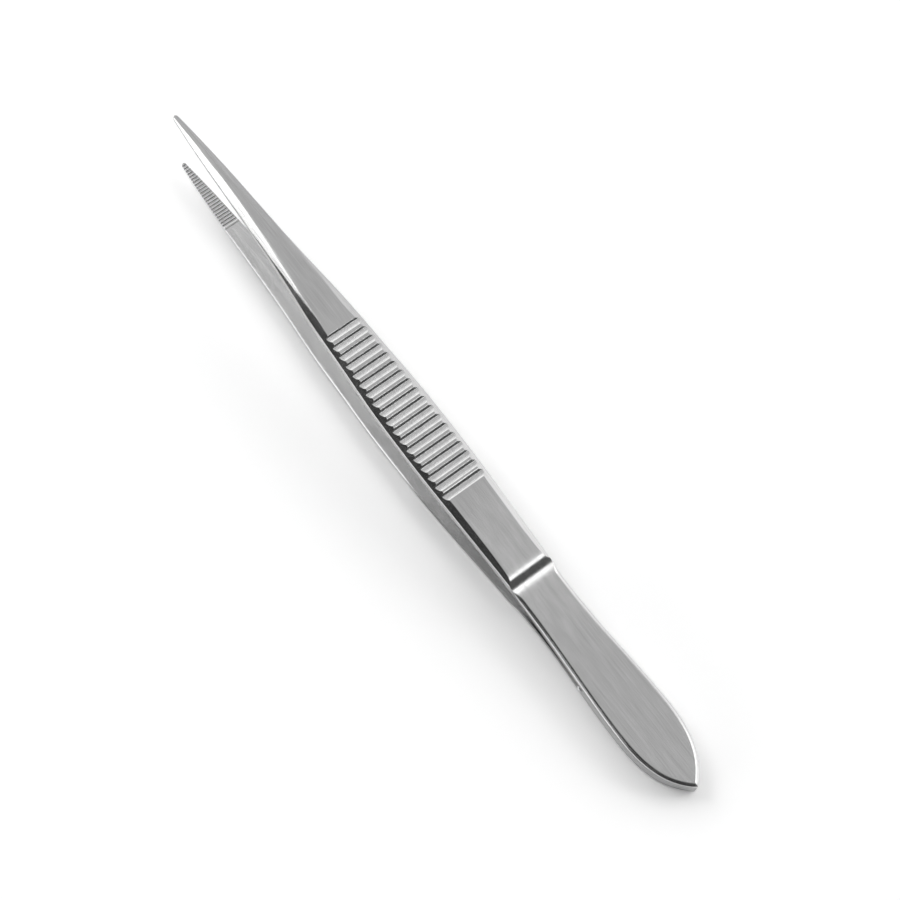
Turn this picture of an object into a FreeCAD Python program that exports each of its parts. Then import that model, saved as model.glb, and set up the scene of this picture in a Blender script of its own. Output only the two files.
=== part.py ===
"""Splinter forceps, in millimetres.

Two slim spring blades of stainless steel are laid inner face to inner face, welded together over
the leaf-shaped tail and sprung apart from there to the fine points. Each blade has a flat weld
face, a thinned spring with a shoulder in front of it, a grip with cross flutes between long side
bevels, a taper to the point, and a jaw with fine cross teeth on its inner face.

A blade is drawn along X from its tail end, with the weld face on Z = 0 and its outer face up. The
lower blade is the same blade turned half a turn about X. The pair lies as it does on a table: the
tail and the belly of the lower blade stand on Z = 0.
"""
import FreeCAD
import Part
import Sketcher
import math
import os

Vector = FreeCAD.Vector
doc = FreeCAD.newDocument("splinter_forceps")

# Driving sizes: name, value in millimetres or a count, what it is
SIZES = [
    ("blade_length", 115.0, "tail end to point"),
    ("weld_length", 19.2, "flat weld face from the tail end"),
    ("tail_thickness", 1.9, "one blade at the tail"),
    ("tail_width", 8.1, "leaf at its widest"),
    ("tail_widest", 10.7, "from the tail end to the widest place of the leaf"),
    ("tail_edge_radius", 0.4, "rounded outer edge of the tail"),
    ("inner_edge_break", 0.13, "broken edges of the weld face and the inner face"),
    ("spring_thickness", 1.3, "spring behind the shoulder"),
    ("waist_width", 6.64, "narrow place of the spring"),
    ("waist_place", 31.0, "from the tail end to the waist"),
    ("shoulder_place", 34.9, "from the tail end to the top edge of the shoulder"),
    ("shoulder_height", 3.4, "outer face of the blade at the shoulder"),
    ("shoulder_drop", 0.62, "from the outer face down to the spring"),
    ("shoulder_run", 1.1, "length of the shoulder's ramp"),
    ("grip_start", 46.0, "from the tail end to the back of the grip"),
    ("grip_start_height", 4.55, "outer face above the weld plane at the back of the grip"),
    ("grip_middle", 57.0, "from the tail end to the widest place of the grip"),
    ("grip_width", 7.72, "grip at its widest"),
    ("grip_middle_height", 5.31, "outer face above the weld plane at the middle of the grip"),
    ("neck_place", 78.0, "from the tail end to the front of the grip"),
    ("neck_width", 6.1, "blade at the front of the grip"),
    ("neck_height", 6.6, "outer face above the weld plane at the front of the grip"),
    ("taper_place", 90.0, "from the tail end to the middle of the taper"),
    ("taper_width", 4.06, "blade at the middle of the taper"),
    ("taper_height", 7.1, "outer face above the weld plane at the middle of the taper"),
    ("jaw_length", 11.2, "toothed jaw from the point back"),
    ("jaw_root_width", 2.56, "blade at the root of the jaw"),
    ("jaw_root_height", 7.42, "outer face above the weld plane at the root of the jaw"),
    ("tip_width", 1.0, "blade at the point"),
    ("tip_height", 7.15, "outer face above the weld plane at the point"),
    ("tip_thickness", 0.7, "one blade at the point"),
    ("blade_thickness", 1.7, "grip and neck"),
    ("jaw_thickness", 1.15, "one blade at the root of the jaw"),
    ("jaw_proud", 0.12, "jaw face in front of the inner face behind it"),
    ("bevel_width", 1.05, "side bevels of the grip, seen from above"),
    ("bevel_drop", 0.6, "side bevels of the grip, downward"),
    ("tip_bevel", 0.26, "side bevels at the point"),
    ("flute_count", 18, "cross flutes"),
    ("flute_pitch", 1.56, "from one flute to the next"),
    ("flute_width", 1.36, "one flute, on the outer face"),
    ("flute_depth", 0.26, "one flute"),
    ("flute_start", 49.0, "from the tail end to the rearmost flute"),
    ("tooth_count", 24, "cross teeth of a jaw"),
    ("tooth_pitch", 0.445, "from one tooth to the next"),
    ("tooth_depth", 0.16, "groove between two teeth"),
    ("rest_wear", 0.08, "worn off the outer face where a blade lies on the table"),
]

sheet = doc.addObject("Spreadsheet::Sheet", "Sizes")
for row, (name, value, meaning) in enumerate(SIZES, start=1):
    sheet.set("A%d" % row, name.replace("_", " "))
    sheet.set("B%d" % row, str(value))
    sheet.setAlias("B%d" % row, name)
    sheet.set("C%d" % row, meaning)
doc.recompute()

# Places and heights that follow from the driving sizes
S = "Sizes."
JAW_ROOT = "(Sizes.blade_length - Sizes.jaw_length)"
FORE = "(Sizes.taper_place * 0.45 + (Sizes.blade_length - Sizes.jaw_length) * 0.55)"
TIP_ROUND = "(Sizes.blade_length - Sizes.tip_width / 2)"
SHOULDER_FOOT = "(Sizes.shoulder_place - Sizes.shoulder_run)"
SPRING_BACK = "(Sizes.weld_length * 0.58 + Sizes.waist_place * 0.42)"
WAIST_INNER = "(Sizes.shoulder_height - Sizes.shoulder_drop) * 0.38"
FLUTE_RADIUS = "(Sizes.flute_width ^ 2 / (8 * Sizes.flute_depth) + Sizes.flute_depth / 2)"
JAW_INNER = "(Sizes.jaw_root_height - Sizes.jaw_thickness)"
TIP_INNER = "(Sizes.tip_height - Sizes.tip_thickness)"
FAR = "(Sizes.blade_length + 5)"


def origin_plane(body, role):
    """Returns one of a body's own origin planes."""
    return [part for part in body.Origin.OriginFeatures if part.Role == role][0]


def new_sketch(body, name, role, offset=None):
    """Makes a sketch on an origin plane, moved along that plane's normal by a formula."""
    sketch = body.newObject("Sketcher::SketchObject", name)
    sketch.AttachmentSupport = [(origin_plane(body, role), "")]
    sketch.MapMode = "FlatFace"
    if offset:
        sketch.setExpression("AttachmentOffset.Base.z", offset)
    return sketch


def value_of(owner, formula):
    """Works out a formula of sheet sizes."""
    value = owner.evalExpression(formula)
    return float(getattr(value, "Value", value))


def place_point(sketch, geo, pos, point):
    """Ties a point of the sketch to its two formulas, or to an axis where one is zero."""
    for axis, kind, formula in ((-2, "DistanceX", point[0]), (-1, "DistanceY", point[1])):
        if formula == "0":
            sketch.addConstraint(Sketcher.Constraint("PointOnObject", geo, pos, axis))
        else:
            number = value_of(sketch, formula)
            index = sketch.addConstraint(Sketcher.Constraint(kind, -1, 1, geo, pos, number))
            sketch.setExpression("Constraints[%d]" % index, formula)


def draw_spline(sketch, poles):
    """Draws a cubic curve by its control points and returns its number and theirs."""
    spots = [Vector(value_of(sketch, px), value_of(sketch, py), 0) for px, py in poles]
    circles = [sketch.addGeometry(Part.Circle(spot, Vector(0, 0, 1), 0.3), True) for spot in spots]
    sketch.addConstraint(Sketcher.Constraint("Weight", circles[0], 1.0))
    for circle in circles[1:]:
        sketch.addConstraint(Sketcher.Constraint("Equal", circles[0], circle))
    curve = Part.BSplineCurve(spots, None, None, False, 3, None, False)
    number = sketch.addGeometry(curve, False)
    for k, circle in enumerate(circles):
        kind = "InternalAlignment:Sketcher::BSplineControlPoint"
        sketch.addConstraint(Sketcher.Constraint(kind, circle, 3, number, k))
    return number, circles


def draw_outline(sketch, steps):
    """Draws a closed outline. Each step is a list of points: two for a line, four or more for a
    cubic curve by its control points. A step starts where the one before it ends."""
    drawn = []
    for step in steps:
        if len(step) == 2:
            first, last = [Vector(value_of(sketch, px), value_of(sketch, py), 0) for px, py in step]
            drawn.append((sketch.addGeometry(Part.LineSegment(first, last), False), None))
        else:
            drawn.append(draw_spline(sketch, step))
    for k, step in enumerate(steps):
        number, circles = drawn[k]
        if circles:
            for circle, point in list(zip(circles, step))[1:-1]:
                place_point(sketch, circle, 3, point)
        sketch.addConstraint(Sketcher.Constraint("Coincident", drawn[k - 1][0], 2, number, 1))
        place_point(sketch, number, 1, step[0])
    return drawn


def cut_through(body, sketch, name):
    """Cuts the sketch's outline right through the body, both ways from its plane."""
    before = body.Shape.Volume
    pocket = body.newObject("PartDesign::Pocket", name)
    pocket.Profile = sketch
    pocket.Type = "ThroughAll"
    pocket.Midplane = True
    doc.recompute()
    if body.Shape.Volume > before - 1e-4:
        raise RuntimeError("%s cut nothing" % name)
    return pocket


def repeat_cut(body, pocket, sketch, name, count, pitch):
    """Repeats a cut along the sketch's slanting construction line."""
    before = body.Shape.Volume
    pattern = body.newObject("PartDesign::LinearPattern", name)
    pattern.Originals = [pocket]
    pattern.Direction = (sketch, ["Axis0"])
    pattern.setExpression("Occurrences", count)
    pattern.setExpression("Length", "(%s - 1) * %s" % (count, pitch))
    body.Tip = pattern
    doc.recompute()
    if body.Shape.Volume > before - 1e-4:
        raise RuntimeError("%s cut nothing" % name)
    return pattern


def dress_edges(body, name, kind, prop, size, wanted):
    """Rounds or breaks the edges of the body that the given test picks."""
    base = body.Tip
    edges = base.Shape.Edges
    names = ["Edge%d" % (k + 1) for k, edge in enumerate(edges) if wanted(base.Shape, edge)]
    if not names:
        raise RuntimeError("%s found no edge" % name)
    dressing = body.newObject(kind, name)
    dressing.Base = (base, names)
    dressing.setExpression(prop, size)
    doc.recompute()
    if "Invalid" in dressing.State or body.Shape.Volume > base.Shape.Volume - 1e-4:
        raise RuntimeError("%s changed nothing" % name)
    return dressing


# Stations of the blank: name, place, half width, outer height, thickness, bevel width, bevel drop
TAIL_BLANK = "Sizes.tail_thickness + 0.6"
STATIONS = [
    ("Station_end", "0", "Sizes.tail_width / 2 + 0.5", TAIL_BLANK, TAIL_BLANK, "0.5", "0.3"),
    ("Station_half_leaf", "Sizes.tail_widest / 2", "Sizes.tail_width / 2 + 0.5",
     TAIL_BLANK, TAIL_BLANK, "0.5", "0.3"),
    ("Station_leaf", S + "tail_widest", "Sizes.tail_width / 2 + 0.5",
     TAIL_BLANK, TAIL_BLANK, "0.5", "0.3"),
    ("Station_leaf_front", "(Sizes.tail_widest + Sizes.waist_place) / 2",
     "(Sizes.tail_width + Sizes.waist_width) / 4 + 0.5", TAIL_BLANK, TAIL_BLANK, "0.5", "0.3"),
    ("Station_waist", S + "waist_place", "Sizes.waist_width / 2 + 0.25",
     "Sizes.shoulder_height - 0.43", "Sizes.shoulder_height - 0.43", "0.6", "0.4"),
    ("Station_shoulder", "Sizes.shoulder_place + 2", "Sizes.waist_width / 2 + 0.12",
     "Sizes.shoulder_height + 0.22", S + "blade_thickness", "0.75", "Sizes.bevel_drop * 0.8"),
    ("Station_grip_start", S + "grip_start", "Sizes.waist_width * 0.15 + Sizes.grip_width * 0.35",
     S + "grip_start_height", S + "blade_thickness",
     "Sizes.bevel_width * 0.9", "Sizes.bevel_drop * 0.95"),
    ("Station_grip_middle", S + "grip_middle", "Sizes.grip_width / 2",
     S + "grip_middle_height", S + "blade_thickness", S + "bevel_width", S + "bevel_drop"),
    ("Station_grip_front", "(Sizes.grip_middle + Sizes.neck_place) / 2",
     "Sizes.grip_width * 0.31 + Sizes.neck_width * 0.19",
     "(Sizes.grip_middle_height + Sizes.neck_height) / 2", S + "blade_thickness",
     S + "bevel_width", S + "bevel_drop"),
    ("Station_neck", S + "neck_place", "Sizes.neck_width / 2",
     S + "neck_height", S + "blade_thickness", S + "bevel_width", S + "bevel_drop"),
    ("Station_taper", S + "taper_place", "Sizes.taper_width / 2", S + "taper_height",
     "Sizes.blade_thickness * 0.55 + Sizes.jaw_thickness * 0.45",
     "Sizes.bevel_width * 0.74", S + "bevel_drop"),
    ("Station_fore_taper", FORE, "Sizes.taper_width * 0.2 + Sizes.jaw_root_width * 0.3",
     "Sizes.taper_height * 0.3 + Sizes.jaw_root_height * 0.7",
     "Sizes.blade_thickness * 0.2 + Sizes.jaw_thickness * 0.8",
     "Sizes.bevel_width * 0.6", "Sizes.bevel_drop * 0.95"),
    ("Station_jaw_root", JAW_ROOT, "Sizes.jaw_root_width / 2",
     S + "jaw_root_height", S + "jaw_thickness", "Sizes.tip_bevel + 0.22",
     "Sizes.tip_bevel + 0.24"),
    ("Station_jaw_middle", "(Sizes.blade_length - Sizes.jaw_length / 2)",
     "Sizes.jaw_root_width * 0.26 + Sizes.tip_width * 0.24",
     "Sizes.jaw_root_height * 0.55 + Sizes.tip_height * 0.45",
     "(Sizes.jaw_thickness + Sizes.tip_thickness) / 2",
     "Sizes.tip_bevel + 0.12", "Sizes.tip_bevel + 0.14"),
    ("Station_tip", "Sizes.blade_length + 0.5", "Sizes.tip_width / 2", S + "tip_height",
     S + "tip_thickness", S + "tip_bevel", S + "tip_bevel"),
]


def draw_station(body, station):
    """Draws one cross-section of the blank: a flat outer face, side bevels and walls. Its bevels
    run on past the blade's sides and its walls below the inner face, which are cut afterwards."""
    name, place, half, height, thickness, bevel, drop = station
    sketch = new_sketch(body, name, "YZ_Plane", None if place == "0" else place)
    side = "%s + 0.6" % half
    low = "%s - (%s) - 0.7" % (height, thickness)
    edge = "%s - (%s) * (1 + 0.6 / (%s))" % (height, drop, bevel)
    flat = "%s - (%s)" % (half, bevel)
    points = [(side, low), (side, edge), (flat, height),
              ("-(%s)" % flat, height), ("-(%s)" % side, edge), ("-(%s)" % side, low)]
    draw_outline(sketch, [[points[k], points[(k + 1) % 6]] for k in range(6)])
    return sketch


# Plan outline of one side: control points of four cubic curves from the tail's end to the point
PLAN = [
    [("0", "0"), ("Sizes.tail_widest * 0.2", "Sizes.tail_width * 0.3"),
     ("Sizes.tail_widest * 0.45", "Sizes.tail_width / 2"),
     ("Sizes.tail_widest", "Sizes.tail_width / 2")],
    [("Sizes.tail_widest", "Sizes.tail_width / 2"),
     ("Sizes.tail_widest * 0.66 + Sizes.waist_place * 0.34", "Sizes.tail_width / 2"),
     ("Sizes.tail_widest * 0.4 + Sizes.waist_place * 0.6", "Sizes.waist_width / 2"),
     ("Sizes.waist_place", "Sizes.waist_width / 2")],
    [("Sizes.waist_place", "Sizes.waist_width / 2"),
     ("Sizes.waist_place * 0.73 + Sizes.grip_middle * 0.27", "Sizes.waist_width / 2"),
     ("Sizes.waist_place * 0.38 + Sizes.grip_middle * 0.62", "Sizes.grip_width / 2"),
     ("Sizes.grip_middle", "Sizes.grip_width / 2")],
    [("Sizes.grip_middle", "Sizes.grip_width / 2"),
     ("Sizes.grip_middle * 0.67 + Sizes.neck_place * 0.33", "Sizes.grip_width / 2"),
     ("Sizes.grip_middle * 0.33 + Sizes.neck_place * 0.67",
      "Sizes.grip_width * 0.15 + Sizes.neck_width * 0.353"),
     ("Sizes.neck_place", "Sizes.neck_width / 2 + 0.1"),
     ("Sizes.neck_place * 0.33 + Sizes.taper_place * 0.67", "Sizes.taper_width / 2 + 0.24"),
     ("Sizes.taper_place * 0.63 + %s * 0.37" % JAW_ROOT,
      "(Sizes.taper_width + Sizes.jaw_root_width) / 4"),
     (JAW_ROOT, "Sizes.jaw_root_width / 2"),
     ("Sizes.blade_length * 0.6 + %s * 0.4" % JAW_ROOT,
      "(Sizes.jaw_root_width + Sizes.tip_width) / 4"),
     (TIP_ROUND, "Sizes.tip_width / 2")],
]


def cut_plan(body):
    """Cuts the blank to the plan outline: leaf tail, waist, grip, taper and round point."""
    sketch = new_sketch(body, "Plan_outline", "XY_Plane")
    sides = []
    for sign in ("", "-"):
        side = []
        for poles in PLAN:
            spots = [(px, py if py == "0" else "%s(%s)" % (sign, py)) for px, py in poles]
            number, circles = draw_spline(sketch, spots)
            for circle, spot in list(zip(circles, spots))[1:-1]:
                place_point(sketch, circle, 3, spot)
            if side or not sign:
                place_point(sketch, number, 1, spots[0])
            if side:
                sketch.addConstraint(Sketcher.Constraint("Coincident", side[-1], 2, number, 1))
            side.append(number)
        sides.append(side)
    sketch.addConstraint(Sketcher.Constraint("Coincident", sides[0][0], 1, sides[1][0], 1))
    radius = value_of(sketch, "Sizes.tip_width / 2")
    centre = Vector(value_of(sketch, TIP_ROUND), 0, 0)
    arc = sketch.addGeometry(Part.ArcOfCircle(Part.Circle(centre, Vector(0, 0, 1), radius),
                                              -math.pi / 2, math.pi / 2), False)
    place_point(sketch, arc, 3, (TIP_ROUND, "0"))
    place_point(sketch, arc, 1, (TIP_ROUND, "-Sizes.tip_width / 2"))
    sketch.addConstraint(Sketcher.Constraint("Coincident", sides[1][-1], 2, arc, 1))
    sketch.addConstraint(Sketcher.Constraint("Coincident", sides[0][-1], 2, arc, 2))
    corners = [("-5", "-8"), (FAR, "-8"), (FAR, "8"), ("-5", "8")]
    draw_outline(sketch, [[corners[k], corners[(k + 1) % 4]] for k in range(4)])
    doc.recompute()
    cut_through(body, sketch, "Plan_cut")


def cut_inner_face(body):
    """Cuts the inner face: flat weld face, opening curve and the slightly proud jaw face."""
    sketch = new_sketch(body, "Inner_profile", "XZ_Plane")
    behind = JAW_INNER + " + Sizes.jaw_proud"
    steps = [
        [("-5", "-6"), (FAR, "-6")],
        [(FAR, "-6"), (FAR, TIP_INNER)],
        [(FAR, TIP_INNER), (S + "blade_length", TIP_INNER)],
        [(S + "blade_length", TIP_INNER), (JAW_ROOT, JAW_INNER)],
        [(JAW_ROOT, JAW_INNER), (JAW_ROOT + " - Sizes.jaw_proud", behind)],
        [(JAW_ROOT + " - Sizes.jaw_proud", behind),
         (FORE, "%s * 0.7 + (Sizes.taper_height - Sizes.blade_thickness * 0.9) * 0.3" % JAW_INNER),
         ("Sizes.taper_place", "Sizes.taper_height - Sizes.blade_thickness * 0.88"),
         ("Sizes.neck_place", "Sizes.neck_height - Sizes.blade_thickness - 0.1"),
         ("(Sizes.neck_place + Sizes.grip_middle) / 2",
          "(Sizes.neck_height + Sizes.grip_middle_height) / 2 - Sizes.blade_thickness"),
         ("Sizes.grip_middle", "Sizes.grip_middle_height - Sizes.blade_thickness"),
         ("Sizes.grip_start", "Sizes.grip_start_height - Sizes.blade_thickness + 0.1"),
         ("Sizes.shoulder_place + 3", "Sizes.shoulder_height + 0.45 - Sizes.blade_thickness"),
         ("Sizes.waist_place", WAIST_INNER),
         (SPRING_BACK, "0"),
         ("Sizes.weld_length", "0")],
        [("Sizes.weld_length", "0"), ("-5", "0")],
        [("-5", "0"), ("-5", "-6")],
    ]
    draw_outline(sketch, steps)
    doc.recompute()
    cut_through(body, sketch, "Inner_cut")


def cut_tail(body):
    """Thins the tail and the spring from above, up to the shoulder's ramp."""
    sketch = new_sketch(body, "Tail_profile", "XZ_Plane")
    foot_z = "Sizes.shoulder_height - Sizes.shoulder_drop - 0.05"
    foot = (SHOULDER_FOOT + " - 0.5", foot_z)
    top = ("Sizes.shoulder_place + 0.4", "Sizes.shoulder_height + 0.1")
    steps = [
        [("-5", S + "tail_thickness"), (S + "weld_length", S + "tail_thickness")],
        [(S + "weld_length", S + "tail_thickness"), (SPRING_BACK, S + "tail_thickness"),
         (S + "waist_place", WAIST_INNER + " + Sizes.spring_thickness - 0.05"), foot],
        [foot, (SHOULDER_FOOT + " + 0.1", foot_z + " + 0.1"),
         ("Sizes.shoulder_place - 0.35", "Sizes.shoulder_height - 0.1"), top],
        [top, (top[0], "14")],
        [(top[0], "14"), ("-5", "14")],
        [("-5", "14"), ("-5", S + "tail_thickness")],
    ]
    draw_outline(sketch, steps)
    doc.recompute()
    cut_through(body, sketch, "Tail_cut")


def is_tail_edge(shape, edge):
    """Picks the sides of the tail's outer face, behind the shoulder's foot."""
    box = edge.BoundBox
    foot = float(sheet.get("shoulder_place")) - float(sheet.get("shoulder_run")) - 0.4
    height = float(sheet.get("tail_thickness")) - 0.01
    return box.XMax < foot and box.ZMin > height and (box.YMin > -0.01 or box.YMax < 0.01)


def is_inner_edge(shape, edge):
    """Picks the sides of the inner face, which looks down in the blade's own frame, from the tail
    to the root of the jaw."""
    root = float(sheet.get("blade_length")) - float(sheet.get("jaw_length"))
    if edge.BoundBox.XLength < 0.5 or edge.BoundBox.XMax > root:
        return False
    for face in shape.Faces:
        first, last, low, high = face.ParameterRange
        normal = face.normalAt((first + last) / 2, (low + high) / 2)
        if normal.z < -0.8 and any(edge.isSame(other) for other in face.Edges):
            return True
    return False


def place_guide(sketch, first, last):
    """Draws the slanting construction line along which a row of cuts is repeated."""
    ends = [Vector(value_of(sketch, px), value_of(sketch, py), 0) for px, py in (first, last)]
    guide = sketch.addGeometry(Part.LineSegment(ends[0], ends[1]), True)
    place_point(sketch, guide, 1, first)
    place_point(sketch, guide, 2, last)


def cut_flutes(body):
    """Cuts the round-bottomed flutes across the grip, from the rearmost one forward."""
    slope = "(Sizes.neck_height - Sizes.grip_start_height) / (Sizes.neck_place - Sizes.grip_start)"
    face = "(Sizes.grip_start_height + 0.05 + (Sizes.flute_start - Sizes.grip_start) * %s)" % slope
    centre = (S + "flute_start", "%s - Sizes.flute_depth + %s" % (face, FLUTE_RADIUS))
    sketch = new_sketch(body, "Flute_profile", "XZ_Plane")
    radius = value_of(sketch, FLUTE_RADIUS)
    spot = Vector(value_of(sketch, centre[0]), value_of(sketch, centre[1]), 0)
    ring = sketch.addGeometry(Part.Circle(spot, Vector(0, 0, 1), radius), False)
    place_point(sketch, ring, 3, centre)
    index = sketch.addConstraint(Sketcher.Constraint("Radius", ring, radius))
    sketch.setExpression("Constraints[%d]" % index, FLUTE_RADIUS)
    place_guide(sketch, (S + "flute_start", face),
                ("Sizes.flute_start + 20", "%s + 20 * %s" % (face, slope)))
    doc.recompute()
    pocket = cut_through(body, sketch, "Flute")
    repeat_cut(body, pocket, sketch, "Flute_row", S + "flute_count", S + "flute_pitch")


def cut_teeth(body):
    """Cuts the fine grooves between the teeth of the jaw, from the point back."""
    first = "(Sizes.blade_length - Sizes.tooth_pitch)"
    sketch = new_sketch(body, "Tooth_profile", "XZ_Plane")
    half = "Sizes.tooth_pitch * 0.56"
    below = TIP_INNER + " - Sizes.tooth_depth * 0.28"
    corners = [("%s - %s" % (first, half), below), ("%s + %s" % (first, half), below),
               (first, TIP_INNER + " + Sizes.tooth_depth")]
    draw_outline(sketch, [[corners[k], corners[(k + 1) % 3]] for k in range(3)])
    place_guide(sketch, (S + "blade_length", TIP_INNER), (JAW_ROOT, JAW_INNER))
    doc.recompute()
    pocket = cut_through(body, sketch, "Tooth")
    repeat_cut(body, pocket, sketch, "Tooth_row", S + "tooth_count", S + "tooth_pitch")


def resting_places(shape):
    """Returns the two places, as X and Z, on which a blade lies with its outer face down: the edge
    of its hull, seen from the side, that has the centre of mass over it."""
    points = sorted({(round(p.x, 4), round(p.z, 4)) for p in shape.tessellate(0.02)[0]})
    hull = []
    for point in points:
        while len(hull) > 1:
            (ax, az), (bx, bz) = hull[-2:]
            if (bx - ax) * (point[1] - az) - (bz - az) * (point[0] - ax) < 0:
                break
            hull.pop()
        hull.append(point)
    middle = shape.Solids[0].CenterOfMass.x
    return [(a, b) for a, b in zip(hull, hull[1:]) if a[0] <= middle <= b[0]][0]


def cut_rest(body):
    """Wears the outer face flat at the tail and the belly, along the line on which the blade lies,
    and returns that line's slope."""
    back, front = resting_places(body.Shape)
    slope = (front[1] - back[1]) / (front[0] - back[0])
    sketch = new_sketch(body, "Rest_profile", "XZ_Plane")
    heights = ["%.5f + (%s) * %.7f - Sizes.rest_wear" % (back[1] - back[0] * slope, x, slope)
               for x in ("-5", FAR)]
    corners = [("-5", heights[0]), (FAR, heights[1]), (FAR, "14"), ("-5", "14")]
    draw_outline(sketch, [[corners[k], corners[(k + 1) % 4]] for k in range(4)])
    doc.recompute()
    cut_through(body, sketch, "Rest_cut")
    return slope


def make_blade(label):
    """Makes one blade as a body of features and returns it with the slope it lies at."""
    body = doc.addObject("PartDesign::Body", label)
    body.Label = label
    doc.recompute()

    sections = [draw_station(body, station) for station in STATIONS]
    doc.recompute()
    blank = body.newObject("PartDesign::AdditiveLoft", "Blank")
    blank.Profile = sections[0]
    blank.Sections = [(section, "") for section in sections[1:]]
    blank.Ruled = False
    doc.recompute()

    cut_plan(body)
    cut_inner_face(body)
    cut_tail(body)
    dress_edges(body, "Tail_edge", "PartDesign::Fillet", "Radius", S + "tail_edge_radius",
                is_tail_edge)
    dress_edges(body, "Inner_edge", "PartDesign::Chamfer", "Size", S + "inner_edge_break",
                is_inner_edge)
    cut_flutes(body)
    cut_teeth(body)
    return body, cut_rest(body)


upper, slope = make_blade("upper_blade")
lower, slope = make_blade("lower_blade")

# The lower blade is turned over, then the pair is leant until tail and belly stand on the table
turned_over = FreeCAD.Rotation(Vector(1, 0, 0), 180)
lean = FreeCAD.Rotation(Vector(0, 1, 0), -math.degrees(math.atan(slope)))
upper.Placement = FreeCAD.Placement(Vector(0, 0, 0), lean)
lower.Placement = FreeCAD.Placement(Vector(0, 0, 0), lean.multiply(turned_over))
doc.recompute()
boxes = [blade.Shape.optimalBoundingBox(False) for blade in (upper, lower)]
shift = Vector(-(min(box.XMin for box in boxes) + max(box.XMax for box in boxes)) / 2, 0,
               -min(box.ZMin for box in boxes))
upper.Placement = FreeCAD.Placement(shift, lean)
lower.Placement = FreeCAD.Placement(shift, lean.multiply(turned_over))
doc.recompute()

for item in doc.Objects:
    if "Invalid" in item.State or "Error" in item.State:
        raise RuntimeError("%s failed: %s" % (item.Name, item.State))
for blade in (upper, lower):
    if blade.Shape.isNull() or not blade.Shape.isValid() or len(blade.Shape.Solids) != 1:
        raise RuntimeError("%s has no sound shape" % blade.Label)

os.makedirs("parts", exist_ok=True)
for blade in (upper, lower):
    blade.Shape.exportStep("parts/%s.step" % blade.Label)
    box = blade.Shape.optimalBoundingBox(False)
    print("%s: volume %.2f, X %.3f to %.3f, Y %.3f to %.3f, Z %.3f to %.3f" % (
        blade.Label, blade.Shape.Volume, box.XMin, box.XMax, box.YMin, box.YMax, box.ZMin,
        box.ZMax))
print("lean %.4f degrees, shift %.4f, %.4f" % (math.degrees(lean.Angle), shift.x, shift.z))
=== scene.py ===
"""Splinter forceps of brushed stainless steel on white paper, in soft light.

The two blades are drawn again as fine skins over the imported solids, with rounded edges, flutes,
jaw teeth and ground faces. All sizes are in millimetres in the formulas and in metres in Blender.
A blade is worked out along X from its tail end, with the weld face on Z = 0 and its outer face up,
then laid in the row frame, where the pair stands on Z = 0.
"""
import math

import bpy
import numpy as np
from bpy.props import FloatProperty, FloatVectorProperty, IntProperty, PointerProperty
from mathutils import Matrix, Vector


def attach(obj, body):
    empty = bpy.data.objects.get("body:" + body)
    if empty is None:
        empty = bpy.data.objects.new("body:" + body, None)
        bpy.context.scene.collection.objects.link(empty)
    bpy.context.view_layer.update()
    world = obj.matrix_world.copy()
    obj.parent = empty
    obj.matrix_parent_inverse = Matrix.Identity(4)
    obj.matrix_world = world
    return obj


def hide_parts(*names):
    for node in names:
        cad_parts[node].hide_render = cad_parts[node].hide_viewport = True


bl_info = {
    "name": "Splinter forceps",
    "version": (1, 0, 0),
    "blender": (4, 5, 0),
    "location": "View3D > Sidebar > Forceps",
    "description": "Makes splinter forceps of brushed stainless steel and the paper they lie on",
    "category": "Add Mesh",
}

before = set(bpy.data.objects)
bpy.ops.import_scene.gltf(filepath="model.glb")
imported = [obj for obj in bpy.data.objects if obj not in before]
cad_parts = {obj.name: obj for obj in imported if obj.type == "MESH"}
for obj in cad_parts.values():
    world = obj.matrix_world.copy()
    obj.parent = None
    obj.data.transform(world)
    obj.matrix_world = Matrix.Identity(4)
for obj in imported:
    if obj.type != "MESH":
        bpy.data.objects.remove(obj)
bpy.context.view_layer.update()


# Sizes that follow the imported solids, and colours

def length(value, name, description):
    """A length property whose default is given in millimetres."""
    return FloatProperty(name=name, description=description, default=value / 1000, min=0.0,
                         precision=5, unit="LENGTH", subtype="DISTANCE")


def tint(value, name, description):
    """A colour property whose default is given as an sRGB hex value."""
    return FloatVectorProperty(name=name, description=description, default=linear(value), size=3,
                               min=0.0, max=1.0, subtype="COLOR")


def linear(value):
    """Turns an sRGB hex value, such as 0xC8C9CB, into linear red, green and blue."""
    parts = [((value >> shift) & 255) / 255 for shift in (16, 8, 0)]
    return tuple(p / 12.92 if p <= 0.04045 else ((p + 0.055) / 1.055) ** 2.4 for p in parts)


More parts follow.
